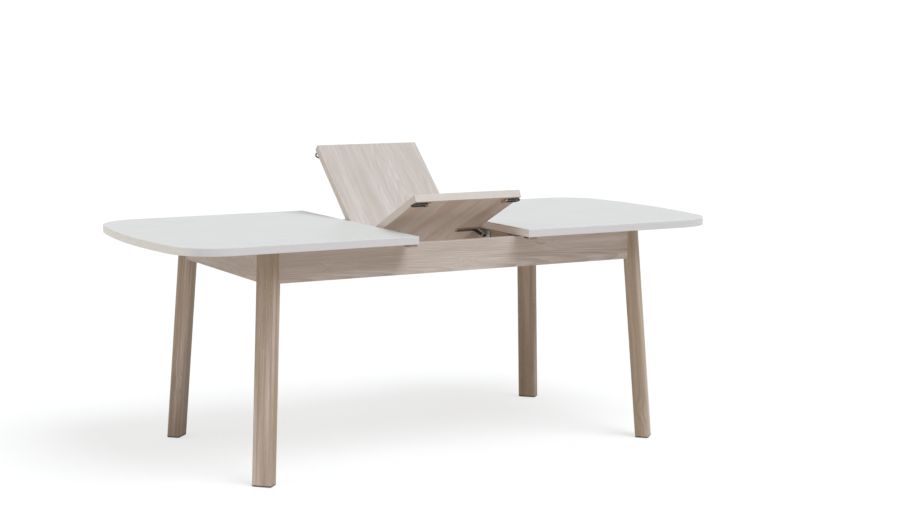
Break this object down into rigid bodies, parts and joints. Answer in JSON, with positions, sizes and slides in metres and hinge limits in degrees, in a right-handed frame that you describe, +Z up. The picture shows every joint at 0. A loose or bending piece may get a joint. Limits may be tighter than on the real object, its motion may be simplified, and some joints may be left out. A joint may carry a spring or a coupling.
{
  "type": "butterfly leaf table",
  "caption": "Extending dining table, open: white top halves with bowed ends on splayed oak legs, with a hinged self-storing oak leaf half raised between them.",
  "frame": {"origin": "on the floor, under the middle of the table", "axes": "+X along the table to the right, +Y to the back, +Z up"},
  "size_m": [2.004, 0.88, 0.9876],
  "materials": {
    "white_laminate": "matt cool white laminate over board",
    "pale_oak": "pale limed oak, grain across the table",
    "limed_oak": "grey-brown limed oak, matt oil",
    "plain_beech": "planed and unfinished",
    "dark_steel": "satin black",
    "zinc_steel": "bright zinc plating",
    "brass": "turned",
    "mill_aluminium": "extruded, mill finish",
    "grey_nylon": "moulded"
  },
  "bodies": {
    "base": {"leg_front_left": "limed_oak", "leg_front_right": "limed_oak", "leg_back_left": "limed_oak", "leg_back_right": "limed_oak", "apron_front": "limed_oak", "apron_back": "limed_oak", "apron_left": "limed_oak", "apron_right": "limed_oak", "rail_left": "limed_oak", "rail_right": "limed_oak", "corner_block_front_left": "plain_beech", "corner_block_front_right": "plain_beech", "corner_block_back_left": "plain_beech", "corner_block_back_right": "plain_beech", "foot_glides": "grey_nylon", "glide_pads": "grey_nylon", "channel_stops": "grey_nylon", "slide_channel_front": "mill_aluminium", "slide_channel_back": "mill_aluminium", "channel_screws": "zinc_steel", "hanger_bolts": "zinc_steel", "hanger_washers": "zinc_steel", "hanger_nuts": "zinc_steel", "block_screws": "zinc_steel", "rail_angles": "zinc_steel", "rail_screws": "zinc_steel", "pivot_plates": "zinc_steel", "plate_screws": "zinc_steel", "pivot_pins": "zinc_steel", "pivot_nuts": "zinc_steel"},
    "left_top": {"left_top": "white_laminate", "left_runner_front": "mill_aluminium", "left_runner_back": "mill_aluminium", "left_runner_screws": "zinc_steel", "left_prong_sockets": "pale_oak", "left_socket_screws": "zinc_steel"},
    "right_top": {"right_top": "white_laminate", "right_runner_front": "mill_aluminium", "right_runner_back": "mill_aluminium", "right_runner_screws": "zinc_steel", "right_prong_sockets": "pale_oak", "right_socket_screws": "zinc_steel"},
    "front_leaf": {"leaf_front_board": "pale_oak", "hinge_front_plates": "zinc_steel", "hinge_front_screws": "zinc_steel", "hinge_pins": "zinc_steel", "pivot_arm_left": "dark_steel", "pivot_arm_right": "dark_steel", "pivot_bushes": "brass", "arm_screws": "zinc_steel", "prongs_front": "dark_steel", "prong_saddles_front": "dark_steel", "saddle_screws_front": "dark_steel"},
    "back_leaf": {"leaf_back_board": "pale_oak", "hinge_back_plates": "zinc_steel", "hinge_back_screws": "zinc_steel", "prongs_back": "dark_steel", "prong_saddles_back": "dark_steel", "saddle_screws_back": "dark_steel"}
  },
  "joints": [
    {"name": "left_top_slide", "type": "slide", "parent": "base", "child": "left_top", "axis": [1, 0, 0], "range_m": [0, 0.009]},
    {"name": "right_top_slide", "type": "slide", "parent": "base", "child": "right_top", "axis": [-1, 0, 0], "range_m": [0, 0.009]},
    {"name": "leaf_flip", "type": "hinge", "parent": "base", "child": "front_leaf", "pos_m": [0, -0.13, 0.704], "axis": [-1, 0, 0], "range_deg": [-25, 41]},
    {"name": "leaf_fold", "type": "hinge", "parent": "front_leaf", "child": "back_leaf", "pos_m": [0, 0.00726, 0.69075], "axis": [1, 0, 0], "range_deg": [-67.5, 112.5]}
  ],
  "couplings": [
    {"joint": "leaf_fold", "follows": "leaf_flip", "ratio": 2.7}
  ]
}
